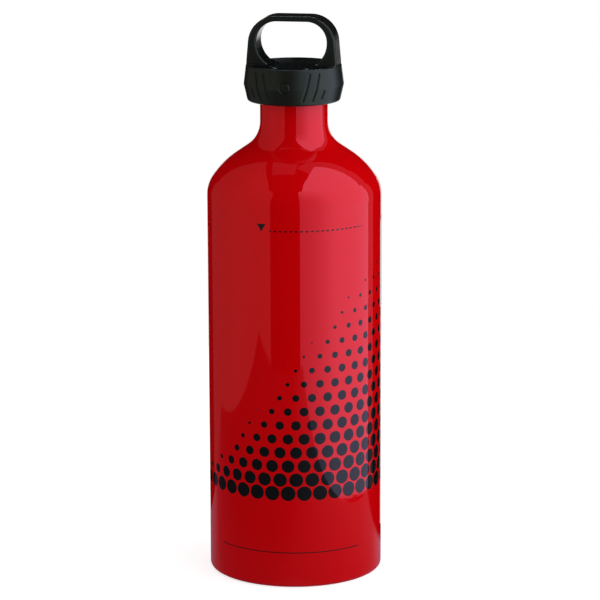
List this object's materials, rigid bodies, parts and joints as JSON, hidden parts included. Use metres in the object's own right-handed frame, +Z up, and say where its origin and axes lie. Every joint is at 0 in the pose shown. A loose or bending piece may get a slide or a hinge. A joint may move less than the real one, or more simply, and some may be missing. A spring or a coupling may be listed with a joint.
{
  "type": "camping fuel bottle",
  "caption": "Enamelled aluminium fuel bottle with a push-and-turn screw cap and a flat carrying loop.",
  "frame": {"origin": "on the resting plane, below the bottle's axis", "axes": "+Z up along the bottle's axis; +X in the plane of the cap's loop, to the right seen from the front"},
  "size_m": [0.0731, 0.0731, 0.2359],
  "materials": {
    "red_enamel": "gloss",
    "white_label": "satin",
    "seal_rubber": "matte",
    "plug_plastic": "satin",
    "spring_steel": "satin",
    "cap_plastic": "satin"
  },
  "bodies": {
    "bottle": {"bottle_body": "red_enamel", "back_label": "white_label"},
    "seal": {"neck_seal": "seal_rubber"},
    "plug": {"cap_plug": "plug_plastic"},
    "spring": {"cap_spring": "spring_steel"},
    "cap": {"cap_shell": "cap_plastic", "retaining_ring": "plug_plastic"}
  },
  "joints": [
    {"name": "cap_rise", "type": "slide", "parent": "bottle", "child": "seal", "axis": [0, 0, 1], "range_m": [0, 0.015]},
    {"name": "cap_turn", "type": "hinge", "parent": "seal", "child": "plug", "pos_m": [0, 0, 0.2], "axis": [0, 0, 1], "range_deg": [0, 1800]},
    {"name": "cap_free_spin", "type": "hinge", "parent": "plug", "child": "spring", "pos_m": [0, 0, 0.2], "axis": [0, 0, 1], "continuous": true},
    {"name": "cap_push", "type": "slide", "parent": "spring", "child": "cap", "axis": [0, 0, 1], "range_m": [-0.0015, 0], "stiffness_N_per_m": 1000, "springref_m": 0.006, "deforming": ["cap_spring"]}
  ],
  "couplings": [
    {"joint": "cap_rise", "follows": "cap_turn", "m_per_rad": 0.00047746}
  ]
}
